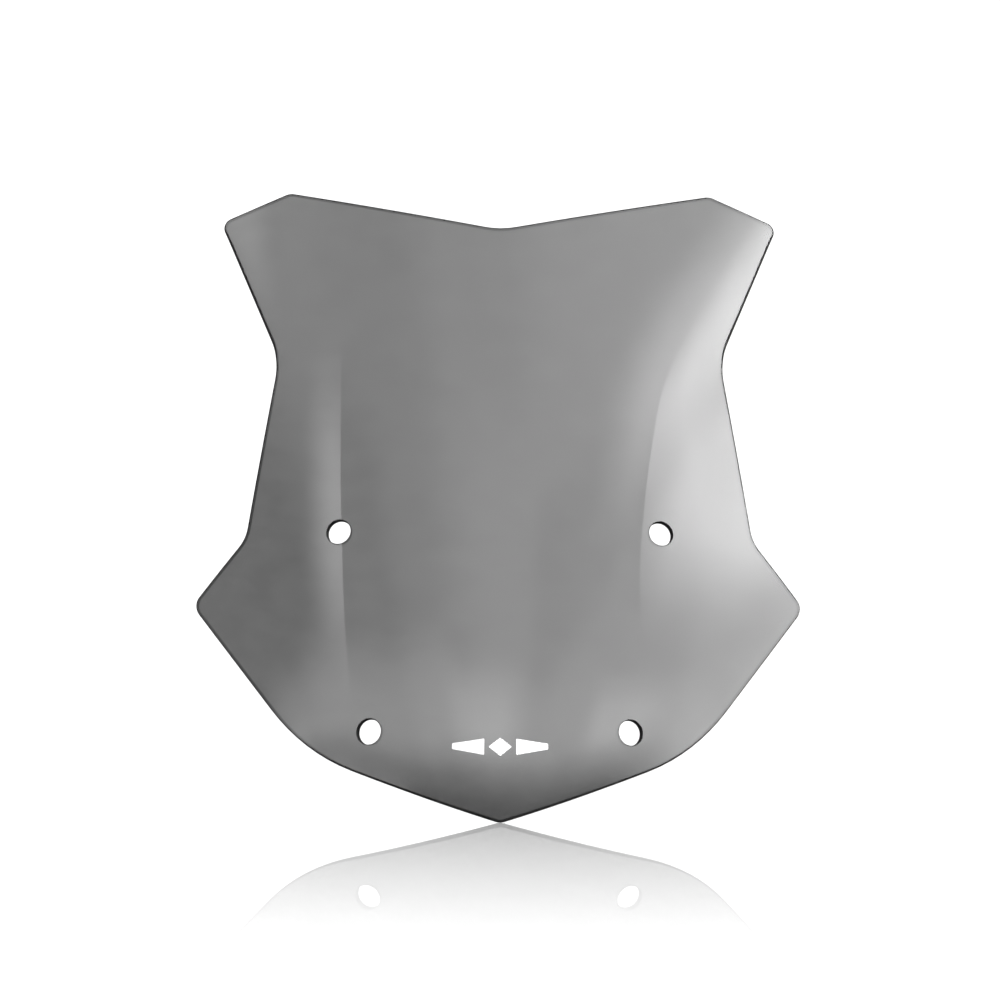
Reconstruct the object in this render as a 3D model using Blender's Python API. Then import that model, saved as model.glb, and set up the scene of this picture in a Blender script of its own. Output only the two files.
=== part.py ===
"""Motorcycle windshield screen: one smoke acrylic sheet with four mounting holes and a printed mark.

The sheet is formed to part of a cone that opens upwards, leans back from its lower tip, and is cut to
a symmetric outline. +Z is up, the convex front faces -Y, +X is to the right seen from the front, and
the origin is under the middle of the bounding box, level with the lower tip.
"""

import math

import bmesh
import bpy
from mathutils import Vector
from mathutils.geometry import delaunay_2d_cdt

MM = 0.001

# Formed shape of the front face, measured from the lower tip
LEAN = 0.36                 # how far the centre line leans back per unit of height, at the tip
BOW = 0.15                  # how much more it leans back higher up, per metre
TIP_RADIUS = 160 * MM       # radius of the curve across the sheet, level with the tip
TAPER = 1.15                # growth of that radius per unit of height

THICKNESS = 4 * MM
EDGE_CHAMFER = 0.4 * MM

# Right half of the cut outline seen from the front: x, z and fillet radius of each corner
HALF_OUTLINE_MM = (
    (0, 368, 55),           # notch in the middle of the top edge
    (141.5, 395, 10),       # peak
    (188.5, 375, 7),        # upper corner
    (144, 280, 45),         # waist
    (161.5, 163.5, 25),     # shoulder
    (197.5, 119.5, 9),      # wing tip
    (120.5, 34.5, 110),     # lower bend
    (0, 0, 10),             # lower tip
)

# Mounting holes, drilled square to the sheet, each with a flat ring round it as a washer seat
HOLE_CENTRES = {"upper": (100.7 * MM, 168.5 * MM), "lower": (78.9 * MM, 49.2 * MM)}
HOLE_RADIUS = 7.75 * MM
SEAT_RADIUS = 11 * MM
HOLE_SEGMENTS = 32

# Printed mark low on the centre line: a diamond between two tapered bars
MARK_HEIGHT = 42.5 * MM     # height of its middle
MARK_HALF_WIDTH = 28.5 * MM
BAR_INNER_END = 9.5 * MM
BAR_INNER_HALF_HEIGHT = 4.6 * MM
BAR_OUTER_HALF_HEIGHT = 1.6 * MM
DIAMOND_HALF_WIDTH = 7 * MM
DIAMOND_HALF_HEIGHT = 5.2 * MM
DIAMOND_TIP_HALF_HEIGHT = 0.3 * MM
MARK_GAP = 0.3 * MM         # clearance to the sheet
MARK_THICKNESS = 0.3 * MM
MARK_COLUMNS = 6

FACET = 14 * MM             # longest facet edge on the sheet
ARC_STEP = math.radians(10)
TINY = 1e-7


def front_point(x, z):
    """Point of the front face at x and z."""
    radius = TIP_RADIUS + TAPER * z
    y = LEAN * z + BOW * z * z + radius - math.sqrt(radius * radius - x * x)
    return Vector((x, y, z))


def front_normal(x, z):
    """Normal of the front face at x and z, pointing forward out of the sheet."""
    radius = TIP_RADIUS + TAPER * z
    across = math.sqrt(radius * radius - x * x)
    slope_x = x / across
    slope_z = LEAN + 2 * BOW * z + TAPER * (1 - radius / across)
    return Vector((slope_x, -1, slope_z)).normalized()


def fillet(before, corner, after, radius):
    """Points of the arc that rounds a corner, with one at the arc's middle."""
    to_before = (before - corner).normalized()
    to_after = (after - corner).normalized()
    half_angle = to_before.angle(to_after) / 2
    centre = corner + (to_before + to_after).normalized() * (radius / math.sin(half_angle))
    run = radius / math.tan(half_angle)
    start = corner + to_before * run - centre
    turn = start.angle_signed(corner + to_after * run - centre)
    steps = 2 * max(1, math.ceil(abs(turn) / (2 * ARC_STEP)))
    points = []
    for step in range(steps + 1):
        angle = -turn * step / steps
        across = Vector((-start.y, start.x))
        points.append(centre + start * math.cos(angle) + across * math.sin(angle))
    return points


def split_run(start, end):
    """Points between two points, none further apart than a facet."""
    pieces = math.ceil((end - start).length / FACET)
    return [start.lerp(end, piece / pieces) for piece in range(1, pieces)]


def cut_outline():
    """The whole outline in x and z, clockwise from the notch seen from the front."""
    right = [(Vector((x, z)) * MM, radius * MM) for x, z, radius in HALF_OUTLINE_MM]
    left = [(Vector((-corner.x, corner.y)), radius) for corner, radius in right[-2:0:-1]]
    corners = right + left
    loop = []
    for index, (corner, radius) in enumerate(corners):
        before = corners[index - 1][0]
        after = corners[(index + 1) % len(corners)][0]
        arc = fillet(before, corner, after, radius)
        if loop:
            loop += split_run(loop[-1], arc[0])
        loop += arc
    return loop + split_run(loop[-1], loop[0])


def inset(loop, distance):
    """A clockwise loop moved inwards."""
    moved = []
    for index, point in enumerate(loop):
        along = loop[(index + 1) % len(loop)] - loop[index - 1]
        moved.append(point + Vector((along.y, -along.x)).normalized() * distance)
    return moved


def is_inside(point, loop):
    """Whether a point lies in a loop, by counting the edges to its right."""
    crossings = 0
    for index, end in enumerate(loop):
        start = loop[index - 1]
        if (start.y > point.y) != (end.y > point.y):
            share = (point.y - start.y) / (end.y - start.y)
            crossings += point.x < start.x + share * (end.x - start.x)
    return crossings % 2 == 1


def hole_ring(centre, radius, depth):
    """Points round a hole at a depth behind its seat, anticlockwise seen from the front."""
    middle = front_point(*centre)
    axis = front_normal(*centre)
    across = Vector((0, 0, 1)).cross(-axis).normalized()
    up = across.cross(axis)
    if up.z < 0:
        up = -up
    if across.x < 0:
        across = -across
    points = []
    for step in range(HOLE_SEGMENTS):
        angle = 2 * math.pi * step / HOLE_SEGMENTS
        offset = across * math.cos(angle) + up * math.sin(angle)
        points.append(middle + offset * radius - axis * depth)
    return points


def add_walls(bm, rings, closed):
    """Faces between rings of vertices that follow each other from the front face to the back."""
    count = len(rings[0])
    last = count if closed else count - 1
    for outer, inner in zip(rings, rings[1:]):
        for index in range(last):
            follow = (index + 1) % count
            bm.faces.new((outer[index], outer[follow], inner[follow], inner[index]))


def sheet_half():
    """The right half of the sheet, open along the centre line."""
    bm = bmesh.new()
    outline = cut_outline()
    face_outline = inset(outline, EDGE_CHAMFER)
    edge = [point for point in outline if point.x > -TINY]
    border = [point for point in face_outline if point.x > -TINY]
    for loop in (edge, border):
        loop[0].x = 0
        loop[-1].x = 0
    centre_line = split_run(border[-1], border[0])

    # The face as flat points, each with its place on the front face and its normal there
    flat = border + centre_line
    places = [(front_point(*point), front_normal(*point)) for point in flat]
    links = [(index, (index + 1) % len(flat)) for index in range(len(flat))]
    hole_rims = []
    for centre in HOLE_CENTRES.values():
        axis = front_normal(*centre)
        for radius in (HOLE_RADIUS + EDGE_CHAMFER, SEAT_RADIUS):
            first = len(flat)
            ring = hole_ring(centre, radius, 0)
            flat += [Vector((point.x, point.z)) for point in ring]
            places += [(point, axis) for point in ring]
            members = list(range(first, len(flat)))
            links += zip(members, members[1:] + members[:1])
            if radius != SEAT_RADIUS:
                hole_rims.append(members)

    # Points inside the face on a grid, clear of everything placed so far
    rows = math.ceil(max(point.y for point in border) / FACET)
    columns = math.ceil(max(point.x for point in border) / FACET)
    fixed = list(flat)
    for row in range(rows):
        for column in range(1, columns + 1):
            point = Vector((column - 0.5 * (row % 2), row)) * FACET
            near = min((point - other).length for other in fixed)
            over_hole = any(
                (point - Vector(centre)).length < SEAT_RADIUS for centre in HOLE_CENTRES.values()
            )
            if near > 0.6 * FACET and not over_hole and is_inside(point, border + centre_line):
                flat.append(point)
                places.append((front_point(*point), front_normal(*point)))

    # Triangles between the points, without those over a hole or outside the outline
    found = delaunay_2d_cdt(flat, links, [], 0, TINY, True)
    source = [ids[0] for ids in found[3]]
    front = [bm.verts.new(place) for place, normal in places]
    back = [bm.verts.new(place - normal * THICKNESS) for place, normal in places]
    for triangle in found[2]:
        corners = [source[index] for index in triangle]
        centre = sum((flat[index] for index in corners), Vector((0, 0))) / 3
        over_hole = any(set(corners) <= set(rim) for rim in hole_rims)
        if over_hole or not is_inside(centre, border + centre_line):
            continue
        bm.faces.new([front[index] for index in corners])
        bm.faces.new([back[index] for index in reversed(corners)])

    # The cut edge, with a small chamfer at both faces
    rings = [front[: len(border)]]
    for depth in (EDGE_CHAMFER, THICKNESS - EDGE_CHAMFER):
        rings.append(
            [bm.verts.new(front_point(*point) - front_normal(*point) * depth) for point in edge]
        )
        rings[-1][0].co.x = 0
        rings[-1][-1].co.x = 0
    rings.append(back[: len(border)])
    add_walls(bm, rings, False)

    # The hole walls, chamfered the same way
    for centre, rim in zip(HOLE_CENTRES.values(), hole_rims):
        rings = [[front[index] for index in rim]]
        for depth in (EDGE_CHAMFER, THICKNESS - EDGE_CHAMFER):
            ring = hole_ring(centre, HOLE_RADIUS, depth)
            rings.append([bm.verts.new(point) for point in ring])
        rings.append([back[index] for index in rim])
        add_walls(bm, rings, True)
    return bm


def curved_plate(columns):
    """A thin plate in front of the sheet, from columns of x, lowest z and highest z."""
    bm = bmesh.new()
    sections = []
    for x, low, high in columns:
        corners = (
            (low, MARK_GAP + MARK_THICKNESS),
            (high, MARK_GAP + MARK_THICKNESS),
            (high, MARK_GAP),
            (low, MARK_GAP),
        )
        points = [front_point(x, z) + front_normal(x, z) * off for z, off in corners]
        sections.append([bm.verts.new(point) for point in points])
    for left, right in zip(sections, sections[1:]):
        for index in range(4):
            follow = (index + 1) % 4
            bm.faces.new((left[index], right[index], right[follow], left[follow]))
    bm.faces.new(sections[0])
    bm.faces.new(reversed(sections[-1]))
    return bm


def mark_columns(start, end, half_height):
    """Columns between two x values, with half_height giving the height at a share of the way."""
    columns = []
    for step in range(MARK_COLUMNS + 1):
        share = step / MARK_COLUMNS
        reach = half_height(share)
        x = start + (end - start) * share
        columns.append((x, MARK_HEIGHT - reach, MARK_HEIGHT + reach))
    return columns


def right_bar_columns():
    """The right bar, which tapers outwards."""
    drop = BAR_INNER_HALF_HEIGHT - BAR_OUTER_HALF_HEIGHT
    return mark_columns(
        BAR_INNER_END, MARK_HALF_WIDTH, lambda share: BAR_INNER_HALF_HEIGHT - drop * share
    )


def left_bar_columns():
    """The mirror image of the right bar."""
    return [(-x, low, high) for x, low, high in reversed(right_bar_columns())]


def diamond_columns():
    """The diamond, with narrow blunt ends."""
    drop = DIAMOND_HALF_HEIGHT - DIAMOND_TIP_HALF_HEIGHT
    return mark_columns(
        -DIAMOND_HALF_WIDTH,
        DIAMOND_HALF_WIDTH,
        lambda share: DIAMOND_HALF_HEIGHT - drop * abs(2 * share - 1),
    )


def smoke_acrylic():
    """Dark see-through acrylic with a polished surface."""
    material = bpy.data.materials.new("smoke_acrylic")
    material.use_nodes = True
    shader = material.node_tree.nodes["Principled BSDF"]
    shader.inputs["Base Color"].default_value = (0.03, 0.03, 0.032, 1)
    shader.inputs["Metallic"].default_value = 0
    shader.inputs["Roughness"].default_value = 0.04
    shader.inputs["IOR"].default_value = 1.49
    shader.inputs["Transmission Weight"].default_value = 0.8
    return material


def white_print():
    """White ink."""
    material = bpy.data.materials.new("white_print")
    material.use_nodes = True
    shader = material.node_tree.nodes["Principled BSDF"]
    shader.inputs["Base Color"].default_value = (0.85, 0.85, 0.85, 1)
    shader.inputs["Metallic"].default_value = 0
    shader.inputs["Roughness"].default_value = 0.4
    return material


def add_object(name, bm, material, parent):
    """An object from a finished bmesh."""
    mesh = bpy.data.meshes.new(name)
    bm.to_mesh(mesh)
    bm.free()
    mesh.materials.append(material)
    mesh.shade_smooth()
    mesh.set_sharp_from_angle(angle=math.radians(30))
    piece = bpy.data.objects.new(name, mesh)
    piece.parent = parent
    bpy.context.collection.objects.link(piece)
    return piece


def mirror_across_centre(piece):
    """The left half, joined to the right half on the centre line."""
    mirror = piece.modifiers.new("left_half", "MIRROR")
    mirror.use_axis = (True, False, False)
    mirror.use_mirror_merge = True
    mirror.merge_threshold = 0.00001


def stand_on_origin(parent, piece):
    """Moves everything so that the middle of the piece's box stands on the origin."""
    depsgraph = bpy.context.evaluated_depsgraph_get()
    corners = [Vector(corner) for corner in piece.evaluated_get(depsgraph).bound_box]
    front = min(corner.y for corner in corners)
    rear = max(corner.y for corner in corners)
    lowest = min(corner.z for corner in corners)
    parent.location = (0, -(front + rear) / 2, -lowest)


def build():
    """The whole screen."""
    for old in list(bpy.data.objects):
        bpy.data.objects.remove(old)
    root = bpy.data.objects.new("windshield_screen", None)
    bpy.context.collection.objects.link(root)
    sheet = add_object("screen_sheet", sheet_half(), smoke_acrylic(), root)
    mirror_across_centre(sheet)
    print_material = white_print()
    add_object("mark_bar_left", curved_plate(left_bar_columns()), print_material, root)
    add_object("mark_diamond", curved_plate(diamond_columns()), print_material, root)
    add_object("mark_bar_right", curved_plate(right_bar_columns()), print_material, root)
    stand_on_origin(root, sheet)


build()
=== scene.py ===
"""Looks of a motorcycle windshield screen: a smoke acrylic sheet with four drilled holes and a small
printed mark, standing on its lower tip in a white studio.

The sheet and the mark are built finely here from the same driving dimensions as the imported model,
then placed by its boxes. Shapes are laid out in plan, which is x and z in the sheet's own frame with
the lower tip at the origin, and then set on the formed surface.
"""

import math

import bpy
import numpy as np
from mathutils import Matrix, Vector
from mathutils.geometry import delaunay_2d_cdt


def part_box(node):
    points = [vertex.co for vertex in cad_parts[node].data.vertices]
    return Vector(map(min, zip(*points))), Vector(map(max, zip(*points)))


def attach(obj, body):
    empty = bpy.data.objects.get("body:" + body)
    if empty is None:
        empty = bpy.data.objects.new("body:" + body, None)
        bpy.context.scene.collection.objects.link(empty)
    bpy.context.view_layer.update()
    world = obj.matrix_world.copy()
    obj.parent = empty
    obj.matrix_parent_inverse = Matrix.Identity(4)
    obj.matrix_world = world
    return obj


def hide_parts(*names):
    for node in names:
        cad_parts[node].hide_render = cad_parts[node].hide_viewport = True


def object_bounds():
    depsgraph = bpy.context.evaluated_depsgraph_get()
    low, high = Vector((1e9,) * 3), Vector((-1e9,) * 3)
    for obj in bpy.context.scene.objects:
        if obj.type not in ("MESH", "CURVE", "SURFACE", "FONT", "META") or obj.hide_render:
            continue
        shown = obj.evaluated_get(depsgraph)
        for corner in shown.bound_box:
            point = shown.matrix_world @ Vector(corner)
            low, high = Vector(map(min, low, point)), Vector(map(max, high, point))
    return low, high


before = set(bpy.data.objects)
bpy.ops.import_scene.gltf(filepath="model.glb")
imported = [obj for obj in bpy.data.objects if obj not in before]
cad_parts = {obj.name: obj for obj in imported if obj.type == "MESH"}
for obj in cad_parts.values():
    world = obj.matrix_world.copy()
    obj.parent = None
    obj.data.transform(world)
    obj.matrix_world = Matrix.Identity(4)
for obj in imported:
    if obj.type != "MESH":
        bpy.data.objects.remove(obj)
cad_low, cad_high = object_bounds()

MM = 0.001

# Formed shape of the front face
LEAN = 0.36                 # how far the centre line leans back per unit of height, at the tip
BOW = 0.15                  # how much more it leans back higher up, per metre
TIP_RADIUS = 160 * MM       # radius of the curve across the sheet, level with the tip
TAPER = 1.15                # growth of that radius per unit of height

THICKNESS = 4 * MM
EDGE_ROUNDING = 1.3 * MM            # of the cut outline
UPPER_SIDE_ROUNDING = 1.9 * MM      # of the two sides between waist and upper corner
ROUNDING_CHANGE = 8 * MM            # height over which one gives way to the other
RIM_ROUNDING = 0.45 * MM            # of the holes

# Right half of the cut outline seen from the front: x, z and fillet radius of each corner
HALF_OUTLINE_MM = (
    (0, 368, 55),           # notch in the middle of the top edge
    (141.5, 395, 10),       # peak
    (188.5, 375, 7),        # upper corner
    (144, 280, 45),         # waist
    (161.5, 163.5, 25),     # shoulder
    (197.5, 119.5, 9),      # wing tip
    (120.5, 34.5, 110),     # lower bend
    (0, 0, 10),             # lower tip
)
UPPER_CORNER, WAIST = 2, 3          # their places in the list

# Drilled holes: x and z of each pair
HOLE_CENTRES = ((100.7 * MM, 168.5 * MM), (78.9 * MM, 49.2 * MM))
HOLE_RADIUS = 7.75 * MM
HOLE_SEGMENTS = 64
HOLE_RING_GAPS = (0.9 * MM, 2.2 * MM, 4.2 * MM)     # rings of the mesh, outside the rounded rim

# Printed mark: a diamond between two tapered bars
MARK_HEIGHT = 42.5 * MM     # height of its middle
MARK_HALF_WIDTH_MM = 28.5
BAR_INNER_END_MM = 9.5
BAR_INNER_HALF_HEIGHT_MM = 4.6
BAR_OUTER_HALF_HEIGHT_MM = 1.6
DIAMOND_HALF_WIDTH_MM = 7
DIAMOND_HALF_HEIGHT_MM = 5.2
PRINT_CORNER_MM = 0.5
PRINT_LIFT = 0.02 * MM      # clearance of the ink to the sheet
PRINT_THICKNESS = 0.1 * MM
PRINT_ROUNDING = 0.04 * MM

# Mesh fineness
SHEET_FACET = 4.5 * MM
PRINT_FACET = 1.2 * MM
FILL_CLEARANCE = 0.6        # gap between fill points and loops, as a share of the facet
MERGE_DISTANCE = 1e-7       # closest that two points of a face's mesh may be
ARC_STEP = math.radians(4)
EDGE_STEPS = 4              # segments of each rounded edge

# Smoke acrylic
ACRYLIC_IOR = 1.49
FACE_TINT = 0.14            # share of light that the two faces of the sheet let through together
DYE_PASSES = 0.557          # share that the dye lets through, straight across the sheet

# Camera, on the side that the sheet's front faces
EYE_DISTANCE = 1.2
EYE_HEIGHT = 0.1892
EYE_YAW = 0.0152
EYE_ROLL = 0.0061
EYE_SHIFT = (-0.0021, 0.0005)
FOCAL_SHARE = 2.0484        # focal length as a share of the picture's width

# Studio
WHITE = 1.25                # radiance of the white backdrop and floor, which the camera overexposes
FLOOR_GLOW = WHITE / 2
FLOOR_ALBEDO = 0.45
LIGHT_ON_FLOOR = (WHITE - FLOOR_GLOW) / FLOOR_ALBEDO
FLOOR_SIZE = 60
FLOOR_DROP = 0.05 * MM      # how far it lies below the tip
MIRROR_AT_TIP = 0.68        # how much the floor mirrors under the tip
MIRROR_REACH = 0.426        # distance before or behind the tip where that has faded out
MIRRORED_LAMPS = 3.5        # radiance that polished surfaces reflect in that mirror image
LAMPS_BEHIND = 0.45         # strength of the lamps behind the sheet, which mirror those ahead

# Lamps, in degrees of azimuth and elevation as the sheet sees them, and in radiance
STRIP_AZIMUTH = -35         # crisp side of the left strip
STRIP_MIDDLE = 46.5         # elevation where it crosses that azimuth
STRIP_RADIANCE = 3.3
SOFTBOX_AZIMUTH = 38        # nearest point of the right softbox's crisp side
SOFTBOX_MIDDLE = 39.7       # elevation of that point
SOFTBOX_BOW = 0.05          # how fast the side curves away above and below it
BOW_REACH = 12.5            # distance from it where the curve becomes straight
SOFTBOX_CORNER = 43         # elevation from which the side turns over to the softbox's top
CORNER_BEND = 0.9
FRONT_SAG = 0.0058          # how fast the top of the dark front sinks to both sides


def front_surface(plan):
    """Points of the front face at an array of plan points, and its normals there."""
    x, z = plan[:, 0], plan[:, 1]
    radius = TIP_RADIUS + TAPER * z
    across = np.sqrt(radius * radius - x * x)
    points = np.stack((x, LEAN * z + BOW * z * z + radius - across, z), axis=1)
    slope_z = LEAN + 2 * BOW * z + TAPER * (1 - radius / across)
    normals = np.stack((x / across, -np.ones_like(x), slope_z), axis=1)
    return points, unit(normals)


def unit(vectors):
    """Rows scaled to length 1."""
    return vectors / np.linalg.norm(vectors, axis=1, keepdims=True)


def fillet(before, corner, after, radius):
    """Points of the arc that rounds a corner."""
    to_before = (before - corner).normalized()
    to_after = (after - corner).normalized()
    half_angle = to_before.angle(to_after) / 2
    centre = corner + (to_before + to_after).normalized() * (radius / math.sin(half_angle))
    start = corner + to_before * (radius / math.tan(half_angle)) - centre
    turn = start.angle_signed(corner + to_after * (radius / math.tan(half_angle)) - centre)
    steps = 2 * max(1, math.ceil(abs(turn) / (2 * ARC_STEP)))
    across = Vector((-start.y, start.x))
    points = []
    for step in range(steps + 1):
        angle = -turn * step / steps
        points.append(centre + start * math.cos(angle) + across * math.sin(angle))
    return points


def rounded_loop(corners, facet):
    """A closed plan outline from clockwise corners of x, z and fillet radius in millimetres."""
    places = [Vector((x, z)) * MM for x, z, radius in corners]
    arcs = []
    for index, (x, z, radius) in enumerate(corners):
        after = places[(index + 1) % len(places)]
        arcs.append(fillet(places[index - 1], places[index], after, radius * MM))
    points = []
    for index, arc in enumerate(arcs):
        points += arc
        end = arcs[(index + 1) % len(arcs)][0]
        pieces = math.ceil((end - arc[-1]).length / facet)
        points += [arc[-1].lerp(end, piece / pieces) for piece in range(1, pieces)]
    return np.array(points)


def hole_loop(centre, radius):
    """Plan points of a circle drilled square to the sheet, anticlockwise seen from the front."""
    middle, axis = (Vector(rows[0]) for rows in front_surface(np.array([centre])))
    right = Vector((0, 0, 1)).cross(-axis).normalized()
    up = right.cross(axis)
    if up.z < 0:
        up = -up
    if right.x < 0:
        right = -right
    angles = np.linspace(0, 2 * math.pi, HOLE_SEGMENTS, endpoint=False)
    points = (
        np.array(middle)
        + radius * np.outer(np.cos(angles), right)
        + radius * np.outer(np.sin(angles), up)
    )
    # The circle is slid along its axis onto the curved face
    on_face, normals = front_surface(points[:, (0, 2)])
    slide = ((on_face - points) * normals).sum(axis=1) / (normals @ np.array(axis))
    points += np.outer(slide, axis)
    return points[:, (0, 2)]


def is_inside(points, loop):
    """Which points lie in a loop, by counting the edges to the right of each."""
    start, end = np.roll(loop, 1, axis=0), loop
    z = points[:, 1:2]
    crosses = (start[:, 1] > z) != (end[:, 1] > z)
    rise = np.where(end[:, 1] == start[:, 1], 1, end[:, 1] - start[:, 1])
    cross_x = start[:, 0] + (end[:, 0] - start[:, 0]) * (z - start[:, 1]) / rise
    return (crosses & (points[:, 0:1] < cross_x)).sum(axis=1) % 2 == 1


def fill_points(loops, rings, facet):
    """Grid points inside the first loop, clear of the loops and rings, and outside every ring."""
    step = np.array((facet, facet * math.sqrt(0.75)))
    first = np.floor(loops[0].min(axis=0) / step).astype(int)
    last = np.ceil(loops[0].max(axis=0) / step).astype(int)
    column, row = np.meshgrid(np.arange(first[0], last[0]), np.arange(first[1], last[1]))
    grid = np.stack(((column + 0.5 * (row % 2)).ravel(), row.ravel()), axis=1) * step
    keep = is_inside(grid, loops[0])
    fixed = np.concatenate(loops + rings)
    for ring in rings + loops[1:]:
        keep &= ~is_inside(grid, ring)
    grid = grid[keep]
    gaps = np.linalg.norm(grid[:, None, :] - fixed[None, :, :], axis=2).min(axis=1)
    return grid[gaps > FILL_CLEARANCE * facet]


def edge_profile(rounding, thickness):
    """Steps round a cut edge from the front face to the back one.

    Each holds how far it lies inside the outline, its depth, and its normal's outward and forward parts.
    """
    front = []
    for step in range(EDGE_STEPS + 1):
        angle = math.pi / 2 * step / EDGE_STEPS
        inward = rounding * (1 - math.sin(angle))
        depth = rounding * (1 - math.cos(angle))
        front.append((inward, depth, math.sin(angle), math.cos(angle)))
    back = [(inward, thickness - depth, out, -ahead) for inward, depth, out, ahead in reversed(front)]
    return front + back


def face_triangles(loops, rings, facet):
    """A flat mesh in plan of the area inside the first loop and outside the others.

    Its points are the loops, then the rings, then the filling, in the single precision that the
    triangulation works in.
    """
    fill = fill_points(loops, rings, facet)
    flat = np.concatenate(loops + rings + [fill]).astype(np.float32).astype(float)
    loop_of = np.full(len(flat), -1)
    links, first = [], 0
    for index, loop in enumerate(loops + rings):
        links += [(first + step, first + (step + 1) % len(loop)) for step in range(len(loop))]
        if index < len(loops):
            loop_of[first : first + len(loop)] = index
        first += len(loop)
    found = delaunay_2d_cdt([Vector(point) for point in flat], links, [], 0, MERGE_DISTANCE, True)
    source = np.array([ids[0] for ids in found[3]])
    triangles = source[np.array(found[2])]
    owners = loop_of[triangles]
    over_hole = (owners[:, 0] > 0) & (owners[:, 0] == owners[:, 1]) & (owners[:, 1] == owners[:, 2])
    middles = flat[triangles].mean(axis=1)
    return flat, triangles[~over_hole & is_inside(middles, flat[: len(loops[0])])]


def mesh_object(name, points, faces):
    """A new mesh object in the scene."""
    mesh = bpy.data.meshes.new(name)
    mesh.from_pydata(points, [], faces)
    made = bpy.data.objects.new(name, mesh)
    bpy.context.scene.collection.objects.link(made)
    return made


def formed_solid(name, loops, roundings, rings, facet, front_depth, thickness, wall_slot=0):
    """A solid with the sheet's formed shape: clockwise outline first, then anticlockwise holes.

    front_depth is how deep its front face lies below the sheet's own. wall_slot is the material slot
    of its cut walls.
    """
    points, normals, faces = [], [], []
    front_rims, back_rims, rim_loops = [], [], []
    count = 0
    for loop, rounding in zip(loops, roundings):
        base, facing = front_surface(loop)
        base = base - facing * front_depth
        along = unit(np.roll(base, -1, axis=0) - np.roll(base, 1, axis=0))
        outward = unit(np.cross(facing, along))
        number = np.arange(len(loop))
        follow = (number + 1) % len(loop)
        profile = edge_profile(rounding, thickness)
        for step, (inward, depth, out, ahead) in enumerate(profile):
            points.append(base - outward * inward - facing * depth)
            normals.append(outward * out + facing * ahead)
            if step:
                first = count + (step - 1) * len(loop)
                quads = (number, follow, follow + len(loop), number + len(loop))
                faces += (first + np.stack(quads, axis=1)).tolist()
        front_rims.append(count + number)
        count += len(loop) * len(profile)
        back_rims.append(count - len(loop) + number)
        rim_loops.append(points[-len(profile)][:, (0, 2)])
    wall_count = len(faces)

    # The front and back faces share one flat mesh
    flat, triangles = face_triangles(rim_loops, rings, facet)
    inside, facing = front_surface(flat[sum(len(loop) for loop in rim_loops) :])
    inside = inside - facing * front_depth
    front_of = np.concatenate(front_rims + [count + np.arange(len(inside))])
    back_of = np.concatenate(back_rims + [count + len(inside) + np.arange(len(inside))])
    points += [inside, inside - facing * thickness]
    normals += [facing, -facing]
    faces += front_of[triangles].tolist()
    faces += back_of[triangles[:, ::-1]].tolist()

    piece = mesh_object(name, np.concatenate(points).tolist(), faces)
    slots = [wall_slot] * wall_count + [0] * (len(faces) - wall_count)
    piece.data.polygons.foreach_set("material_index", slots)
    piece.data.shade_smooth()
    piece.data.normals_split_custom_set_from_vertices(np.concatenate(normals).tolist())
    return piece


def sheet_piece():
    """The whole sheet with its holes."""
    left_half = [(-x, z, radius) for x, z, radius in HALF_OUTLINE_MM[-2:0:-1]]
    outline = rounded_loop(list(HALF_OUTLINE_MM) + left_half, SHEET_FACET)
    loops, rings = [outline], []
    for centre in HOLE_CENTRES:
        right_rim = hole_loop(centre, HOLE_RADIUS)
        right_rings = [hole_loop(centre, HOLE_RADIUS + RIM_ROUNDING + gap) for gap in HOLE_RING_GAPS]
        for ring, group in [(right_rim, loops)] + [(ring, rings) for ring in right_rings]:
            mirrored = ring[::-1] * (-1, 1)
            group += [ring, mirrored]
    roundings = [outline_rounding(outline)] + [RIM_ROUNDING] * (len(loops) - 1)
    return formed_solid("acrylic_sheet", loops, roundings, rings, SHEET_FACET, 0, THICKNESS, wall_slot=1)


def outline_rounding(outline):
    """Edge rounding at each outline point, larger on the two upper sides."""
    x, z = np.abs(outline[:, :1]), outline[:, 1:]
    waist, corner = (Vector(HALF_OUTLINE_MM[index][:2]) * MM for index in (WAIST, UPPER_CORNER))
    above_waist = np.clip((z - waist.y) / ROUNDING_CHANGE, 0, 1)
    below_corner = np.clip((corner.y - ROUNDING_CHANGE / 2 - z) / ROUNDING_CHANGE, 0, 1)
    on_side = x > waist.x - ROUNDING_CHANGE / 4
    return EDGE_ROUNDING + (UPPER_SIDE_ROUNDING - EDGE_ROUNDING) * above_waist * below_corner * on_side


def print_piece(name, corners):
    """One printed shape, from clockwise corners in millimetres round the middle of the mark."""
    middle = MARK_HEIGHT / MM
    loop = rounded_loop([(x, middle + z, PRINT_CORNER_MM) for x, z in corners], PRINT_FACET)
    front_depth = -PRINT_LIFT - PRINT_THICKNESS
    return formed_solid(name, [loop], [PRINT_ROUNDING], [], PRINT_FACET, front_depth, PRINT_THICKNESS)


def bar_corners(side):
    """Clockwise corners of one bar: side is 1 on the right and -1 on the left."""
    corners = [
        (BAR_INNER_END_MM, BAR_INNER_HALF_HEIGHT_MM),
        (MARK_HALF_WIDTH_MM, BAR_OUTER_HALF_HEIGHT_MM),
        (MARK_HALF_WIDTH_MM, -BAR_OUTER_HALF_HEIGHT_MM),
        (BAR_INNER_END_MM, -BAR_INNER_HALF_HEIGHT_MM),
    ]
    return [(side * x, z) for x, z in corners[::side]]


def diamond_corners():
    """Clockwise corners of the diamond."""
    return [
        (-DIAMOND_HALF_WIDTH_MM, 0),
        (0, DIAMOND_HALF_HEIGHT_MM),
        (DIAMOND_HALF_WIDTH_MM, 0),
        (0, -DIAMOND_HALF_HEIGHT_MM),
    ]


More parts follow.
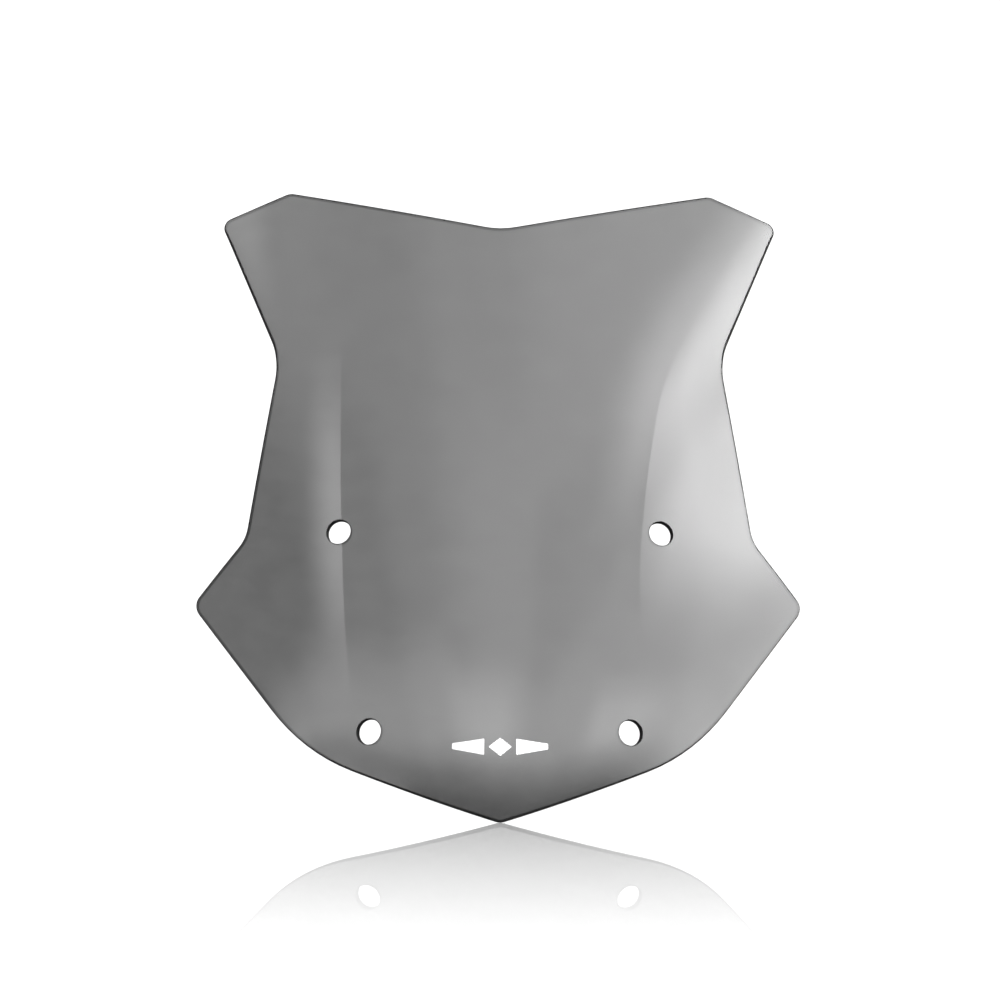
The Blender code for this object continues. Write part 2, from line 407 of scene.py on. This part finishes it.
class Formula:
    """Math nodes in a node tree, so that a formula reads as a few calls."""

    def __init__(self, tree):
        self.tree = tree

    def node(self, kind, **settings):
        made = self.tree.nodes.new(kind)
        for name, value in settings.items():
            setattr(made, name, value)
        return made

    def feed(self, socket, value):
        """Links an output to the socket, or sets the socket to a plain value."""
        if isinstance(value, bpy.types.NodeSocket):
            self.tree.links.new(value, socket)
        else:
            socket.default_value = value

    def calc(self, operation, *values):
        made = self.node("ShaderNodeMath", operation=operation)
        for socket, value in zip(made.inputs, values):
            self.feed(socket, value)
        return made.outputs[0]

    def add(self, first, *others):
        for other in others:
            first = self.calc("ADD", first, other)
        return first

    def times(self, first, *others):
        for other in others:
            first = self.calc("MULTIPLY", first, other)
        return first

    def straight(self, value, start, end, low=0.0, high=1.0):
        """low up to start, high from end on, and a straight line between."""
        return self.between("LINEAR", value, start, end, low, high)

    def smooth(self, value, start, end, low=0.0, high=1.0):
        """low up to start, high from end on, and an S curve between."""
        return self.between("SMOOTHSTEP", value, start, end, low, high)

    def between(self, interpolation, value, start, end, low, high):
        made = self.node("ShaderNodeMapRange", interpolation_type=interpolation)
        for socket, given in zip(made.inputs, (value, start, end, low, high)):
            self.feed(socket, given)
        return made.outputs[0]

    def mix(self, share, low, high):
        """low where share is 0 and high where it is 1."""
        made = self.node("ShaderNodeMix")
        self.feed(made.inputs[0], share)
        self.feed(made.inputs[2], low)
        self.feed(made.inputs[3], high)
        return made.outputs[0]

    def grey(self, socket, level):
        """Feeds a colour socket with one level in all three channels."""
        made = self.node("ShaderNodeCombineColor")
        for channel in made.inputs:
            self.feed(channel, level)
        self.feed(socket, made.outputs[0])

    def noise(self, position, scale, detail, roughness=0.5):
        made = self.node("ShaderNodeTexNoise")
        self.feed(made.inputs["Vector"], position)
        made.inputs["Scale"].default_value = scale
        made.inputs["Detail"].default_value = detail
        made.inputs["Roughness"].default_value = roughness
        return made.outputs[0]

    def bump(self, height, distance, strength=1.0):
        made = self.node("ShaderNodeBump")
        made.inputs["Strength"].default_value = strength
        made.inputs["Distance"].default_value = distance
        self.feed(made.inputs["Height"], height)
        return made.outputs[0]


def new_material(name):
    """A material with its formula helper, its Principled shader and the object's own coordinates."""
    material = bpy.data.materials.new(name)
    material.use_nodes = True
    formula = Formula(material.node_tree)
    shader = material.node_tree.nodes["Principled BSDF"]
    place = formula.node("ShaderNodeTexCoord").outputs["Object"]
    return material, formula, shader, place


def stretched(formula, place, scale):
    """Coordinates scaled differently along x, y and z."""
    mapping = formula.node("ShaderNodeMapping")
    formula.feed(mapping.inputs["Vector"], place)
    mapping.inputs["Scale"].default_value = scale
    return mapping.outputs[0]


def smoke_acrylic():
    """Polished smoke acrylic: it mirrors the studio and lets a little light through."""
    material, formula, shader, place = new_material("smoke_acrylic")
    # Faint streaky stains make it let through a little more or less light
    stains = formula.noise(stretched(formula, place, (45, 45, 90)), 1.0, detail=6, roughness=0.75)
    tint = formula.straight(stains, 0.38, 0.62, 0.9 * FACE_TINT, 1.1 * FACE_TINT)
    formula.grey(shader.inputs["Base Color"], tint)

    # Wiping haze, and a slight sway of the formed face
    haze = formula.noise(stretched(formula, place, (9, 9, 30)), 1.0, detail=5, roughness=0.6)
    formula.feed(shader.inputs["Roughness"], formula.straight(haze, 0.35, 0.75, 0.012, 0.035))
    sway = formula.noise(place, 5, detail=1)
    formula.feed(shader.inputs["Normal"], formula.bump(sway, 0.2 * MM))

    shader.inputs["IOR"].default_value = ACRYLIC_IOR
    shader.inputs["Transmission Weight"].default_value = 1
    dye = formula.node("ShaderNodeVolumeAbsorption")
    dye.inputs["Color"].default_value = (0, 0, 0, 1)
    dye.inputs["Density"].default_value = -math.log(DYE_PASSES) / THICKNESS
    output = material.node_tree.nodes["Material Output"]
    formula.feed(output.inputs["Volume"], dye.outputs[0])
    return material


def sawn_acrylic_painted_shade():
    """Cut walls of the same acrylic, opaque and nearly black as painted shade for the dark they show in
    the tinted sheet, with fine saw and drill marks across them.
    """
    material, formula, shader, place = new_material("sawn_acrylic_painted_shade")
    marks = formula.noise(stretched(formula, place, (400, 400, 1600)), 1.0, detail=3)
    smears = formula.noise(place, 120, detail=3)
    # Painted shade: the nearly black colour and the weak reflection below stand in for the dark that
    # light leaves in the tinted walls, and the smears vary it a little
    formula.grey(shader.inputs["Base Color"], formula.straight(smears, 0.3, 0.7, 0.006, 0.014))
    formula.feed(shader.inputs["Roughness"], formula.straight(marks, 0.3, 0.7, 0.5, 0.7))
    formula.feed(shader.inputs["Normal"], formula.bump(marks, 0.03 * MM))
    shader.inputs["Specular IOR Level"].default_value = 0.04
    return material


def white_ink():
    """Screen printed white ink: a faint mesh texture, uneven cover and a soft sheen."""
    material, formula, shader, place = new_material("white_ink")
    cover = formula.noise(place, 700, detail=3)
    formula.grey(shader.inputs["Base Color"], formula.straight(cover, 0.3, 0.7, 0.8, 0.88))
    blotches = formula.noise(place, 250, detail=2)
    formula.feed(shader.inputs["Roughness"], formula.straight(blotches, 0.3, 0.7, 0.38, 0.55))
    threads = formula.node("ShaderNodeTexWave", wave_type="BANDS", bands_direction="X")
    formula.feed(threads.inputs["Vector"], place)
    threads.inputs["Scale"].default_value = 900
    formula.feed(shader.inputs["Normal"], formula.bump(threads.outputs["Fac"], 0.01 * MM, 0.4))
    return material


def studio_floor():
    """A pale floor that mirrors the object faintly. Polished surfaces see the lamp pattern instead."""
    half = FLOOR_SIZE / 2
    corners = [(-half, -half, 0), (half, -half, 0), (half, half, 0), (-half, half, 0)]
    floor = mesh_object("studio_floor", corners, [(0, 1, 2, 3)])
    floor.location.z = -FLOOR_DROP
    floor.visible_glossy = False
    floor.data.materials.append(floor_paint())


def floor_paint():
    """Glowing white paint under a mirror layer that weakens away from the tip."""
    material, formula, shader, place = new_material("floor_paint")
    tree = material.node_tree
    material.cycles.emission_sampling = "NONE"
    shader.inputs["Roughness"].default_value = 1
    shader.inputs["Specular IOR Level"].default_value = 0
    shader.inputs["Emission Color"].default_value = (1, 1, 1, 1)
    grain = formula.noise(place, 40, detail=3)
    albedo = formula.straight(grain, 0.3, 0.7, FLOOR_ALBEDO - 0.01, FLOOR_ALBEDO + 0.01)
    formula.grey(shader.inputs["Base Color"], albedo)
    shader.inputs["Emission Strength"].default_value = FLOOR_GLOW
    mirror = formula.node("ShaderNodeBsdfAnisotropic")
    mirror.inputs["Color"].default_value = (1, 1, 1, 1)
    mirror.inputs["Roughness"].default_value = 0
    parts = formula.node("ShaderNodeSeparateXYZ")
    formula.feed(parts.inputs[0], place)
    reach = formula.calc("ABSOLUTE", formula.add(parts.outputs[1], -cad_low.y))
    layer = formula.node("ShaderNodeMixShader")
    formula.feed(layer.inputs[0], formula.straight(reach, 0, MIRROR_REACH, MIRROR_AT_TIP, 0))
    formula.feed(layer.inputs[1], shader.outputs[0])
    formula.feed(layer.inputs[2], mirror.outputs[0])
    formula.feed(tree.nodes["Material Output"].inputs["Surface"], layer.outputs[0])
    return material


# The next functions give radiance, from a direction in degrees. smooth(azimuth, a, b, p, q) there
# reads: p up to azimuth a, q from b on, and p and q are 0 and 1 if left out.


def overhead_panel(formula, azimuth, elevation):
    """The large panel above, brighter to the right and dim beyond the left strip."""
    low_left = formula.times(formula.smooth(azimuth, -24, -34), formula.smooth(elevation, 48, 40))
    high = formula.smooth(elevation, 45, 54)
    high_middle = formula.times(high, formula.smooth(azimuth, -14, -4), formula.smooth(azimuth, 14, 0))
    low = formula.times(formula.smooth(elevation, 47, 43), formula.smooth(elevation, 34, 38))
    low_right = formula.times(low, formula.smooth(azimuth, 8, 15), formula.smooth(azimuth, 36, 30))
    panel = formula.add(
        formula.smooth(azimuth, -25, 0, 3.1, 4.7),
        formula.straight(azimuth, 8, 48),
        formula.smooth(azimuth, 52, 68, 0, 1.2),
        formula.times(low_left, -0.75),
        formula.times(high_middle, -0.6),
        formula.times(low_right, -0.6),
    )
    corner = formula.times(formula.smooth(elevation, 41, 46), formula.smooth(azimuth, -46, -52))
    side = formula.add(formula.smooth(elevation, 27, 47, 1.35, 3.3), formula.times(corner, 1.3))
    beyond = formula.smooth(strip_offset(formula, azimuth, elevation), -2, -8)
    return formula.mix(beyond, panel, side)


def strip_offset(formula, azimuth, elevation):
    """Degrees to the right of the left strip's crisp side, which leans outward low down."""
    drop = formula.calc("SUBTRACT", STRIP_MIDDLE, elevation)
    lean = formula.times(drop, formula.calc("MULTIPLY_ADD", formula.calc("ABSOLUTE", drop), 0.008, 0.38))
    return formula.add(azimuth, -STRIP_AZIMUTH, lean)


def left_strip(formula, azimuth, elevation):
    """A narrow upright lamp on the left, soft on its outer side and crisp on the inner one."""
    offset = strip_offset(formula, azimuth, elevation)
    profile = formula.times(formula.smooth(offset, -7, -1.2), formula.calc("LESS_THAN", offset, -0.2))
    height = formula.times(formula.smooth(elevation, 48, 37.5), formula.smooth(elevation, 19, 35))
    return formula.times(profile, height, STRIP_RADIANCE)


def right_softbox(formula, azimuth, elevation):
    """A big softbox on the right: its near side is a crisp bow, its low side slants softly."""
    away = formula.calc("ABSOLUTE", formula.add(elevation, -SOFTBOX_MIDDLE))
    curved = formula.calc("MINIMUM", away, BOW_REACH)
    corner_rise = formula.calc("MAXIMUM", formula.add(elevation, -SOFTBOX_CORNER), 0)
    depth = formula.add(
        azimuth,
        -SOFTBOX_AZIMUTH,
        formula.times(curved, curved, -SOFTBOX_BOW),
        formula.times(formula.calc("SUBTRACT", away, curved), -2 * SOFTBOX_BOW * BOW_REACH),
        formula.times(corner_rise, corner_rise, -CORNER_BEND),
    )
    # It brightens inwards from its crisp side, up to a limit
    rim = formula.smooth(elevation, 40, 32, 3.1, 3.5)
    slope = formula.calc("MULTIPLY_ADD", depth, 0.03, 0.35)
    ramp = formula.calc("MULTIPLY_ADD", depth, slope, rim)
    lit = formula.calc("MINIMUM", ramp, formula.smooth(elevation, 34, 41, 9.8, 6.0))
    slant = formula.calc("MULTIPLY_ADD", azimuth, 0.65, elevation)
    dimmer = formula.times(formula.smooth(azimuth, 45, 51), formula.smooth(elevation, 40.5, 37.5))
    return formula.times(
        lit,
        formula.calc("MULTIPLY_ADD", dimmer, -0.13, 1),
        formula.calc("GREATER_THAN", depth, 0),
        formula.smooth(elevation, 47, 41.3),
        formula.smooth(slant, 55.8, 64.6),
    )


def softbox_glow(formula, azimuth, elevation):
    """Spill of the softbox on the ceiling round its top."""
    height = formula.times(formula.smooth(elevation, 37, 44), formula.smooth(elevation, 51, 44.5))
    wide = formula.times(formula.smooth(azimuth, 23, 41), height, 4.2)
    top = formula.times(formula.smooth(elevation, 37, 41), formula.smooth(elevation, 47, 44))
    return formula.add(wide, formula.times(formula.smooth(azimuth, 46, 51), top, 1.1))


def low_band(formula, azimuth, above_front):
    """The brighter lower margin of the lamps, over the dark low front."""
    strength = formula.add(
        formula.smooth(azimuth, 15, 0, 0.7, 2.7),
        formula.smooth(azimuth, -12, -20, 0, -0.7),
        formula.smooth(azimuth, -55, -66, 0, 0.4),
        formula.times(formula.smooth(azimuth, 30, 38), formula.smooth(azimuth, 64, 50), 1.6),
    )
    middle = formula.smooth(azimuth, -20, -10)
    top = formula.add(formula.smooth(azimuth, -54, -66, 3.3, 1.8), formula.times(middle, -0.7))
    end = formula.add(
        formula.smooth(azimuth, -54, -66, 8.0, 6.2),
        formula.times(middle, -1.8),
        formula.smooth(azimuth, 8, 20, 0, -0.6),
    )
    fade = formula.smooth(above_front, end, top)
    return formula.times(strength, formula.smooth(above_front, 0, 2.3), fade)


def studio_pattern(formula, azimuth, elevation):
    """Radiance that polished surfaces reflect, from a direction in degrees.

    Azimuth 0 and elevation 0 is straight ahead of the sheet, and azimuth grows to its +X side.
    """
    square = formula.times(azimuth, azimuth)
    # Height over the top of the dark front, which sinks to both sides
    above_front = formula.add(
        formula.calc("MULTIPLY_ADD", square, FRONT_SAG, elevation),
        formula.smooth(azimuth, -15, -40, -32.6, -32.1),
        formula.smooth(azimuth, 15, 30, 0, -0.3),
    )
    lamps = formula.add(
        overhead_panel(formula, azimuth, elevation),
        left_strip(formula, azimuth, elevation),
        right_softbox(formula, azimuth, elevation),
        softbox_glow(formula, azimuth, elevation),
        low_band(formula, azimuth, above_front),
    )
    front = formula.add(
        formula.smooth(azimuth, 36, 88, 0.1, 5.7),
        formula.smooth(azimuth, -33, -48, 0, 2.0),
        formula.smooth(azimuth, -50, -62, 0, 0.9),
    )
    pattern = formula.mix(formula.smooth(above_front, -1.8, 1.6), front, lamps)
    return formula.times(pattern, formula.smooth(elevation, -11, -3.5, 0.1, 1))


def studio_world():
    """White all round for the camera, and the lamp pattern for reflections, dimmer behind the sheet."""
    world = bpy.data.worlds.new("studio")
    bpy.context.scene.world = world
    world.use_nodes = True
    # The lamps reach a surface only where it mirrors them
    world.cycles.sampling_method = "NONE"
    formula = Formula(world.node_tree)
    parts = formula.node("ShaderNodeSeparateXYZ")
    formula.feed(parts.inputs[0], formula.node("ShaderNodeTexCoord").outputs["Generated"])
    x, y, z = parts.outputs
    azimuth = formula.calc("DEGREES", formula.calc("ARCTAN2", x, formula.calc("ABSOLUTE", y)))
    elevation = formula.calc("DEGREES", formula.calc("ARCSINE", z))
    pattern = formula.times(
        studio_pattern(formula, azimuth, elevation),
        formula.smooth(y, 0, 0.3, 1, LAMPS_BEHIND),
    )

    path = formula.node("ShaderNodeLightPath").outputs
    # The floor's mirror layer is the only surface that reflects without any blur, and it sees white
    reflected = formula.times(
        path["Is Glossy Ray"],
        formula.calc("SUBTRACT", 1, path["Is Transmission Ray"]),
        formula.calc("SUBTRACT", 1, path["Is Singular Ray"]),
    )
    # A second reflection is the sheet seen in the floor
    second = formula.calc("GREATER_THAN", path["Glossy Depth"], 1.5)
    lamps = formula.mix(second, pattern, MIRRORED_LAMPS)
    plain = formula.mix(path["Is Diffuse Ray"], WHITE, LIGHT_ON_FLOOR)
    background = world.node_tree.nodes["Background"]
    background.inputs["Color"].default_value = (1, 1, 1, 1)
    formula.feed(background.inputs["Strength"], formula.mix(reflected, plain, lamps))


def front_camera():
    """The camera in front of the sheet, level and a little above its lower half."""
    data = bpy.data.cameras.new("front_camera")
    camera = bpy.data.objects.new("front_camera", data)
    bpy.context.scene.collection.objects.link(camera)
    data.lens = FOCAL_SHARE * data.sensor_width
    data.shift_x, data.shift_y = EYE_SHIFT
    data.clip_start = 0.01
    data.clip_end = 200
    place = (
        -EYE_DISTANCE * math.sin(EYE_YAW),
        cad_low.y - EYE_DISTANCE * math.cos(EYE_YAW),
        EYE_HEIGHT,
    )
    turn = (
        Matrix.Rotation(-EYE_YAW, 4, "Z")
        @ Matrix.Rotation(math.pi / 2, 4, "X")
        @ Matrix.Rotation(EYE_ROLL, 4, "Z")
    )
    camera.matrix_world = Matrix.Translation(place) @ turn
    bpy.context.scene.camera = camera


def dress(piece, node, materials, shift):
    """Puts a finished piece in its node's place and gives it its materials."""
    piece.data.transform(Matrix.Translation(shift))
    for material in materials:
        piece.data.materials.append(material)
    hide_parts(node)
    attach(piece, "root")


def mesh_box(piece):
    """Lowest and highest corner of a piece's mesh."""
    places = np.array([vertex.co for vertex in piece.data.vertices])
    return Vector(places.min(axis=0)), Vector(places.max(axis=0))


def build():
    """Everything in the scene."""
    sheet = sheet_piece()
    low, high = mesh_box(sheet)
    node_low, node_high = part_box("screen_sheet")
    shift = (node_low + node_high - low - high) / 2
    shift.x = 0
    shift.z = node_low.z - low.z
    dress(sheet, "screen_sheet", (smoke_acrylic(), sawn_acrylic_painted_shade()), shift)
    ink = white_ink()
    for name, node, corners in (
        ("print_bar_left", "mark_bar_left", bar_corners(-1)),
        ("print_diamond", "mark_diamond", diamond_corners()),
        ("print_bar_right", "mark_bar_right", bar_corners(1)),
    ):
        shape = print_piece(name, corners)
        shape.visible_glossy = False
        dress(shape, node, (ink,), shift)
    studio_floor()
    studio_world()
    front_camera()
    scene = bpy.context.scene
    scene.view_settings.view_transform = "Standard"
    scene.cycles.sample_clamp_indirect = 0
    # With the extra passes the denoiser leaves grain on the clear sheet
    scene.cycles.denoising_input_passes = "RGB"


build()
